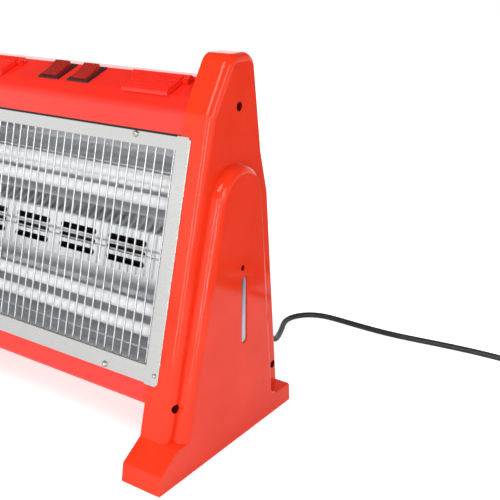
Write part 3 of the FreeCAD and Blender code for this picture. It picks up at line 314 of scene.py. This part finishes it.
def soft_copy(name, bevel, sharp=sharp_fold, segments=2):
    """Merged copy of a solid with bevelled edges and weighted normals, in place of the solid."""
    mesh = bpy.data.meshes.new(name + "_soft")
    work = bmesh.new()
    work.from_mesh(nodes[name].data)
    bmesh.ops.remove_doubles(work, verts=work.verts, dist=same_place)
    bmesh.ops.dissolve_limit(work, angle_limit=same_face, verts=work.verts, edges=work.edges)
    work.to_mesh(mesh)
    work.free()
    mesh.polygons.foreach_set("use_smooth", np.ones(len(mesh.polygons), bool))
    piece = bpy.data.objects.new(name + "_soft", mesh)
    bpy.context.scene.collection.objects.link(piece)
    if bevel:
        edge = piece.modifiers.new("edge", "BEVEL")
        edge.width = bevel
        edge.segments = segments
        edge.limit_method = "ANGLE"
        edge.angle_limit = math.radians(sharp)
        edge.use_clamp_overlap = True
    else:
        mesh.set_sharp_from_angle(angle=math.radians(sharp))
    weigh(piece)
    mesh.materials.append(finishes[slot_of[name]])
    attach(piece, body_of(name))
    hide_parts(name)
    return piece


for side in ("right", "left"):
    soft_copy("side_panel_" + side, 0.5 * MM)
    soft_copy("side_strip_" + side, 0.5 * MM, sharp_fold, 3)
    soft_copy("filler_lid_" + side, 0.8 * MM, 30.0, 3)
    soft_copy("lid_hinge_" + side, 0.6 * MM, 30.0, 3)
    soft_copy("rocker_" + side, 0.7 * MM, 20.0, 3)
    soft_copy("switch_bezel_" + side, 0.4 * MM)
    soft_copy("level_sight_" + side, 0.5 * MM)
    soft_copy("end_caps_" + side, 0.4 * MM)
for name in ("frame_top_rail", "frame_bottom_rail", "vent_band", "cord_plug", "cord_gland"):
    soft_copy(name, 0.3 * MM)
# The top rail takes the frame finish with the painted shadow under the cover's low edge.
bpy.data.objects["frame_top_rail_soft"].data.materials[0] = frame_painted_shadow
for name in ("frame_screws", "guard_wires", "cross_wires"):
    soft_copy(name, 0.0)
# The panel screws are painted near black in place of their steel, as painted shade deep in their holes.
screw_painted_shade = finish("screw_painted_shade", (0.012, 0.008, 0.007), (0.03, 0.02, 0.018), (0.4, 0.6),
                    900, 1e-5)
for side in ("right", "left"):
    soft_copy("panel_screws_" + side, 0.0).data.materials[0] = screw_painted_shade
for number in range(1, 5):
    soft_copy(f"quartz_tube_{number}", 0.0)

# %% [markdown]
# The top cover and the base tray are steel sheet folded round generous corners. A fold is best drawn
# as a profile: straight runs joined by arcs, thickened by the sheet and carried along X. The profile
# is worked out from the leaning front that the solids share.

# %% Profiles of folded sheet
upper_lean = math.radians(31.0)
back_lean = math.radians(10.59)
arc_steps = 8


def on_front(along, depth):
    """Y and Z of a place along the leaning front and behind it."""
    y = front_y + along * math.sin(front_lean) + depth * math.cos(front_lean)
    return np.array((y, along * math.cos(front_lean) - depth * math.sin(front_lean)))


def with_arcs(corners, radii):
    """Open profile whose inner corners are arcs tangent to both runs.

    At a corner c the run turns by t from the unit direction a; the arc starts at s = c - a r tan(t/2),
    and its point at angle u is s + a r sin u + n r (1 - cos u), with n the normal towards the turn.
    """
    rows = [corners[:1]]
    for before, corner, after, radius in zip(corners, corners[1:], corners[2:], radii):
        into = (corner - before) / np.linalg.norm(corner - before)
        out = (after - corner) / np.linalg.norm(after - corner)
        turn = math.atan2(into[0] * out[1] - into[1] * out[0], into @ out)
        start = corner - into * radius * math.tan(abs(turn) / 2)
        inward = np.array((-into[1], into[0])) * math.copysign(radius, turn)
        angle = np.linspace(0, abs(turn), arc_steps)[:, None]
        rows.append(start + into * radius * np.sin(angle) + inward * (1 - np.cos(angle)))
    return np.concatenate(rows + [corners[-1:]])


def thickened(line, thickness):
    """Closed outline: the profile and its copy moved sideways by the sheet's thickness, turned back."""
    run = np.gradient(line, axis=0)
    run /= np.linalg.norm(run, axis=1, keepdims=True)
    return np.concatenate([line, (line + np.column_stack([-run[:, 1], run[:, 0]]) * thickness)[::-1]])


def quads(*corners):
    """Quads from the four index arrays of their corners."""
    return np.stack(corners, -1)


def carried_along(name, outline, stations, holes, slot_name, node_name):
    """Closed outline in Y and Z carried along X, closed at both ends, with rectangular holes left out.

    Point (k, i) is (x k, y i, z i). A hole is a range of outline steps and a range of stations; its
    walls join the outer skin, step i, to the inner one, step count - 1 - i.
    """
    count, columns = len(outline), len(stations)
    points = np.empty((columns, count, 3))
    points[..., 0] = stations[:, None]
    points[..., 1:] = outline
    index = np.arange(columns * count).reshape(columns, count)
    ahead = np.roll(index, -1, 1)
    skin = quads(index[:-1], index[1:], ahead[1:], ahead[:-1])
    keep = np.ones(skin.shape[:2], bool)
    walls = []
    for first, last, left, right in holes:
        under_first, under_last = count - 1 - first, count - 1 - last
        keep[left:right, first:last] = False
        keep[left:right, under_last:under_first] = False
        k = np.arange(left, right)
        i = np.arange(first, last)
        j = count - 1 - i
        walls += [
            quads(index[k, first], index[k, under_first], index[k + 1, under_first], index[k + 1, first]),
            quads(index[k, last], index[k + 1, last], index[k + 1, under_last], index[k, under_last]),
            quads(index[left, i], index[left, i + 1], index[left, j - 1], index[left, j]),
            quads(index[right, i], index[right, j], index[right, j - 1], index[right, i + 1])]
    i = np.arange(count // 2 - 1)
    j = count - 1 - i
    ends = [quads(index[0, i], index[0, i + 1], index[0, j - 1], index[0, j]),
            quads(index[-1, i], index[-1, j], index[-1, j - 1], index[-1, i + 1])]
    faces = np.concatenate([skin[keep]] + walls + ends)
    return surface(name, points.reshape(-1, 3), faces, slot_name, node_name)


def surface(name, points, faces, slot_name, *node_names):
    """Closed mesh piece in place of some solids, smooth but for its sharp folds."""
    mesh = bpy.data.meshes.new(name)
    mesh.from_pydata(points.tolist(), [], faces.tolist())
    work = bmesh.new()
    work.from_mesh(mesh)
    bmesh.ops.recalc_face_normals(work, faces=work.faces)
    work.to_mesh(mesh)
    work.free()
    mesh.polygons.foreach_set("use_smooth", np.ones(len(faces), bool))
    mesh.set_sharp_from_angle(angle=math.radians(sharp_fold))
    piece = bpy.data.objects.new(name, mesh)
    bpy.context.scene.collection.objects.link(piece)
    weigh(piece)
    mesh.materials.append(finishes[slot_name])
    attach(piece, body_of(node_names[0]))
    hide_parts(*node_names)
    return piece


print("front stands at", round(front_y, 4))

# %% [markdown]
# The cover starts at the frame, bends back over a wide crease, folds into the sloping top and ends in
# a short flange at the back. It has a hole over each filler cup and one round each rocker switch.

# %% Top cover
sheet = 1.2 * MM
panel_recess = 3.3 * MM
cover_low, cover_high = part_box("top_cover")
slope_angle = math.radians(20.0)
slope_length = 37.0 * MM
slope_rise = 12.0 * MM
cover_back_drop = 22.0 * MM
lid_length = 30.0 * MM
funnel_x, funnel_y = 36.6 * MM, 18.6 * MM
rocker_x, rocker_w, rocker_l = 20.0 * MM, 25.8 * MM, 29.8 * MM
crease_r, slope_r, ridge_r, back_r = 30.0 * MM, 4.0 * MM, 2.5 * MM, 6.0 * MM
crease_z = 334.0 * MM
low_z = frame_top * math.cos(front_lean)
low_edge = np.array((front_y + low_z * math.tan(front_lean) + panel_recess / math.cos(front_lean), low_z))
crease = low_edge + (crease_z - low_edge[1]) * np.array((math.tan(front_lean), 1))
slope_start = crease + slope_rise * np.array((math.tan(upper_lean), 1))
slope_way = np.array((math.cos(slope_angle), math.sin(slope_angle)))
ridge = slope_start + slope_way * slope_length
back_low = np.array((cover_high.y, ridge[1] - cover_back_drop))
back_top = np.array((cover_high.y - cover_back_drop * math.tan(back_lean), ridge[1]))


def slope_at(along):
    """Place on the sloping top at a distance from its front edge."""
    return slope_start + slope_way * along


hole_rows = [lid_length / 2 - funnel_y / 2, lid_length / 2 + funnel_y / 2]
rocker_rows = [slope_length / 2 - rocker_l / 2, slope_length / 2 + rocker_l / 2]
slope_rows = sorted(hole_rows + rocker_rows)
upper = with_arcs(np.array([low_edge, crease, slope_start, slope_at(slope_rows[0])]), (crease_r, slope_r))
lower = with_arcs(np.array([slope_at(slope_rows[-1]), ridge, back_top, back_low]), (ridge_r, back_r))
line = np.concatenate([upper, [slope_at(row) for row in slope_rows[1:-1]], lower])
outline = thickened(line, -sheet)
row_at = {row: len(upper) - 1 + i for i, row in enumerate(slope_rows)}
lid_x = (abs(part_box("filler_lid_right")[0].x) + abs(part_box("filler_lid_right")[1].x)) / 2
edges_x = np.concatenate([np.array((-1, 1)) * half + middle for middle, half in (
    (-lid_x, funnel_x / 2), (-rocker_x, rocker_w / 2), (rocker_x, rocker_w / 2), (lid_x, funnel_x / 2))])
stations = np.concatenate([[cover_low.x], edges_x, [cover_high.x]])
filler_steps = tuple(row_at[row] for row in hole_rows)
rocker_steps = tuple(row_at[row] for row in rocker_rows)
holes = [(*filler_steps, 1, 2), (*rocker_steps, 3, 4), (*rocker_steps, 5, 6), (*filler_steps, 7, 8)]
carried_along("cover_sheet", outline, stations, holes, "sheet_red", "top_cover")
print("cover outline", len(outline), "stations", len(stations))

# %% [markdown]
# The tray is the same sheet folded under the frame: a low front rail with a rounded foot, a flat floor
# and a lip at the back. The solid also has two small screw tabs, which hang under the floor against the
# end panels; the folded piece is made without them.

# %% Base tray
tray_low, tray_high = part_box("base_tray")
frame_bottom, frame_bottom_w = 87.8 * MM, 17.0 * MM
rail_low, rail_round = 62.0 * MM, 5.0 * MM
tray_lip = 14.0 * MM
foot_r, lip_r = 6.0 * MM, 2.0 * MM


def body_front(z):
    """Depth of the red sheet's front at a height."""
    return front_y + z * math.tan(front_lean) + panel_recess / math.cos(front_lean)


rail_top = (frame_bottom + frame_bottom_w / 2) * math.cos(front_lean)
corners = np.array([
    (body_front(rail_top), rail_top), (body_front(rail_low + rail_round), rail_low + rail_round),
    (body_front(rail_low) + rail_round, rail_low), (tray_high.y, rail_low),
    (tray_high.y - tray_lip * math.tan(back_lean), rail_low + tray_lip)])
line = with_arcs(corners, (foot_r, foot_r, lip_r))
ends_x = np.array((tray_low.x, tray_high.x))
carried_along("tray_sheet", thickened(line, sheet), ends_x, [], "sheet_red", "base_tray")
print("tray outline", len(line) * 2)

# %% [markdown]
# A reflector is thin bright aluminium, pressed into a trough behind each pair of tubes. Its floor
# and flanks run into one another in wide arcs, and that is what bands the reflections.

# %% Reflectors
trough_depth, trough_half = 40.0 * MM, 17.0 * MM
mouth_depth, band_depth = 9.6 * MM, 24.0 * MM
reflector_t, trough_lap, seam_lap = 0.8 * MM, 2.0 * MM, 6.0 * MM
slots_along, band_half = 202.2 * MM, 21.5 * MM
trough_radii = np.array((30, 25, 25, 60, 10)) * MM
upper_pair, lower_pair, frame_top_w = 266.0 * MM, 141.7 * MM, 13.8 * MM


def trough(name, pair, rail, sign):
    """Profile of a trough, in depth and along the front, laid on the leaning front."""
    edge = rail + sign * trough_lap
    middle = slots_along + sign * band_half
    corners = np.array([
        (mouth_depth, edge), ((mouth_depth + trough_depth) / 2, (edge * 2 + pair + sign * trough_half) / 3),
        (trough_depth, pair + sign * trough_half * 2 / 3),
        (trough_depth, pair - sign * trough_half * 2 / 3),
        ((band_depth + trough_depth) / 2, (pair + middle) / 2 - sign * trough_half / 4),
        (band_depth + reflector_t, middle + sign * reflector_t),
        (band_depth + reflector_t, middle - sign * seam_lap)])
    profile = thickened(with_arcs(corners, trough_radii), sign * reflector_t)
    outline = on_front(profile[:, 1], profile[:, 0]).T
    low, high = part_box(name)
    ends_x = np.array((low.x, high.x))
    return carried_along(name + "_sheet", outline, ends_x, [], "reflector_bright", name)


trough("reflector_upper", upper_pair, frame_top - frame_top_w, 1)
trough("reflector_lower", lower_pair, frame_bottom + frame_bottom_w, -1)
print("reflectors made")

# %% [markdown]
# The mains lead leaves the back through a strain relief, drops to the floor in one slack curve and
# runs off to the right. Its spare length is wound into a flat coil with the plug beside it. A single
# open spline carries all of it, because one smooth line bends as a real lead does.

# %% Mains lead
cord_r = 3.5 * MM
lead_points = [
    (124.0, 140.4, 90.0), (124.0, 161.4, 83.5), (124.2, 178.9, 67.0), (124.4, 192.4, 46.0),
    (123.6, 205.4, 27.0), (121.8, 218.4, 13.5), (118.3, 233.9, 5.5), (112.3, 252.4, 3.6),
    (105.0, 271.9, 3.6), (96.5, 292.4, 3.6), (96.2, 307.7, 3.6), (101.6, 322.0, 3.6),
    (111.8, 333.4, 3.6), (125.5, 340.2, 3.6), (142.4, 341.7, 3.6), (166.0, 340.6, 3.6),
    (195.0, 339.6, 3.6), (222.0, 340.2, 3.6), (250.0, 343.4, 3.6), (298.0, 351.4, 3.6),
    (350.0, 356.4, 3.6), (402.0, 354.4, 3.6), (453.0, 354.4, 3.6),
]
coil_start = np.array((460.0, 354.4, 3.6))
coil_radius = 44.0
coil_pitch = 7.5
coil_tail = 30.0
half_turns = 9
half_points = 12


def coil_points():
    """Half circles that step in by half a pitch on the floor, climb one pitch, and step out again on top.

    Half turn k starts at s with heading h: centre s + (0, h r), point at angle t is
    centre + (h r sin t, -h r cos t).
    """
    spot, heading, rows = coil_start, 1.0, []
    angle = np.linspace(0, math.pi, half_points, endpoint=False)
    climb = half_turns // 2
    for k in range(half_turns):
        radius = coil_radius - coil_pitch / 2 * (climb - abs(k - climb))
        rise = angle / math.pi * coil_pitch if k == climb else np.zeros(half_points)
        turn = np.stack([heading * radius * np.sin(angle), heading * radius * (1 - np.cos(angle)), rise], 1)
        rows.append(spot + turn)
        spot = spot + (0, heading * radius * 2, coil_pitch if k == climb else 0)
        heading = -heading
    tail = np.array([spot, spot + (heading * coil_tail / 2, 0, 0), spot + (heading * coil_tail, 0, 0)])
    return np.concatenate(rows + [tail])


lead_mouth = np.array((124.0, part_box("cord_lead")[0].y / MM, 90.0))
route = np.concatenate([[lead_mouth], lead_points, coil_points()]) * MM
lead_curve = bpy.data.curves.new("mains_lead", "CURVE")
lead_curve.dimensions = "3D"
lead_curve.bevel_depth = cord_r
lead_curve.bevel_resolution = 5
lead_curve.use_fill_caps = True
spline = lead_curve.splines.new("NURBS")
spline.points.add(len(route) - 1)
spline.points.foreach_set("co", np.column_stack([route, np.ones(len(route))]).ravel())
spline.order_u = 3
spline.use_endpoint_u = True
spline.resolution_u = 6
lead = bpy.data.objects.new("mains_lead", lead_curve)
bpy.context.scene.collection.objects.link(lead)
lead_curve.materials.append(finishes["cord_black"])
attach(lead, "heater")
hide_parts("cord_lead", "cord_coil")
print("lead points", len(route))

# %% [markdown]
# The studio is a white sweep lit by large soft lamps. The floor is a real pale surface, so it keeps
# the heater's shadow, and a little of its own glow towards the camera takes it to paper white. Shiny
# pieces see it dim behind the heater on the right, as where the sheet of paper ends in a dim room.

# %% Floor
floor_half = 6.0
sheen_near, sheen_far = 0.60, 0.66
sheen_way = (0.64, 0.77, 0)
paper_white, paper_dim = (0.90, 0.90, 0.90, 1), (0.22, 0.22, 0.22, 1)
paper_glow = 0.62
floor_mesh = bpy.data.meshes.new("studio_floor")
floor_mesh.from_pydata([(-floor_half, -floor_half, 0), (floor_half, -floor_half, 0),
                        (floor_half, floor_half, 0), (-floor_half, floor_half, 0)], [], [(0, 1, 2, 3)])
floor = bpy.data.objects.new("studio_floor", floor_mesh)
bpy.context.scene.collection.objects.link(floor)
paper = bpy.data.materials.new("studio_paper")
paper.use_nodes = True
tree = paper.node_tree
tree.nodes.clear()
matte = tree.nodes.new("ShaderNodeBsdfDiffuse")
glow = node(tree, "ShaderNodeEmission", Strength=0.0)
both = tree.nodes.new("ShaderNodeAddShader")
path = tree.nodes.new("ShaderNodeLightPath")
reach = tree.nodes.new("ShaderNodeVectorMath")
reach.operation = "DOT_PRODUCT"
reach.inputs[1].default_value = sheen_way
tree.links.new(tree.nodes.new("ShaderNodeTexCoord").outputs["Object"], reach.inputs[0])
far = node(tree, "ShaderNodeMapRange", From_Min=sheen_near, From_Max=sheen_far)
tree.links.new(reach.outputs["Value"], far.inputs["Value"])
dim = tree.nodes.new("ShaderNodeMath")
dim.operation = "MULTIPLY"
tree.links.new(far.outputs["Result"], dim.inputs[0])
tree.links.new(path.outputs["Is Glossy Ray"], dim.inputs[1])
shade = tree.nodes.new("ShaderNodeMix")
shade.data_type = "RGBA"
shade.inputs["A"].default_value = paper_white
shade.inputs["B"].default_value = paper_dim
tree.links.new(dim.outputs[0], shade.inputs["Factor"])
tree.links.new(shade.outputs["Result"], matte.inputs["Color"])
level = tree.nodes.new("ShaderNodeMath")
level.operation = "MULTIPLY"
level.inputs[1].default_value = paper_glow
tree.links.new(path.outputs["Is Camera Ray"], level.inputs[0])
tree.links.new(level.outputs[0], glow.inputs["Strength"])
tree.links.new(matte.outputs[0], both.inputs[0])
tree.links.new(glow.outputs[0], both.inputs[1])
out = tree.nodes.new("ShaderNodeOutputMaterial")
tree.links.new(both.outputs[0], out.inputs["Surface"])
floor_mesh.materials.append(paper)
print("floor laid")

# %% [markdown]
# The walls of the studio are white at the height of the heater and dim above it. Shiny pieces see
# that: the upright front takes a pale sheen, and the sloping top stays deep red. The camera sees
# plain white, and the soft light that falls on everything has one even level.

# %% World
sky_light = 0.62
horizon_shine, zenith_shine = 1.3, 0.06
shine_low, shine_high = 0.12, 0.55

world = bpy.data.worlds.new("studio_world")
bpy.context.scene.world = world
world.use_nodes = True
tree = world.node_tree
background = tree.nodes["Background"]
background.inputs["Color"].default_value = (1, 1, 1, 1)
path = tree.nodes.new("ShaderNodeLightPath")
direction = tree.nodes.new("ShaderNodeSeparateXYZ")
tree.links.new(tree.nodes.new("ShaderNodeTexCoord").outputs["Generated"], direction.inputs["Vector"])
shine = node(tree, "ShaderNodeMapRange", From_Min=shine_low, From_Max=shine_high,
             To_Min=horizon_shine, To_Max=zenith_shine)
tree.links.new(direction.outputs["Z"], shine.inputs["Value"])


def chosen(ray, value, otherwise):
    """One value for a kind of ray and another for the rest."""
    mix = tree.nodes.new("ShaderNodeMix")
    tree.links.new(path.outputs[ray], mix.inputs["Factor"])
    for socket, source in (("A", otherwise), ("B", value)):
        if isinstance(source, float):
            mix.inputs[socket].default_value = source
        else:
            tree.links.new(source, mix.inputs[socket])
    return mix.outputs["Result"]


level = chosen("Is Glossy Ray", shine.outputs["Result"], sky_light)
level = chosen("Is Transmission Ray", 1.0, level)
level = chosen("Is Camera Ray", 1.0, level)
tree.links.new(level, background.inputs["Strength"])
print("world set")

# %% [markdown]
# A large lamp high on the left is the key, and a broad one on the right lights the end panel. Two
# narrow strips stand at the front and the corner: glossy edges show them as thin bright lines, which
# is what tells a moulded edge from a sharp one. A lamp is its place, the point it faces, its width and
# height in metres and its power in watts.

# %% Lamps
def lamp(name, place, aim, wide, tall, power):
    """Soft rectangular lamp that faces a point."""
    data = bpy.data.lights.new(name, "AREA")
    data.shape = "RECTANGLE"
    data.size = wide
    data.size_y = tall
    data.energy = power
    made = bpy.data.objects.new(name, data)
    made.location = place
    way = np.array(aim) - np.array(place)
    made.rotation_euler = (math.acos(-way[2] / np.linalg.norm(way)), 0, math.atan2(-way[0], way[1]))
    bpy.context.scene.collection.objects.link(made)


lamp("key_lamp", (-0.5, -1.5, 2.3), (0, 0, 0.2), 1.3, 1.0, 26)
lamp("side_lamp", (2.0, -0.9, 1.2), (0.2, 0, 0.2), 1.0, 1.0, 13)
lamp("front_strip", (0.0, -2.2, 0.5), (0, 0, 0.2), 0.14, 1.2, 9)
lamp("corner_strip", (1.3, -1.75, 0.6), (0.1, 0, 0.2), 0.14, 1.2, 9)
print("studio lit")
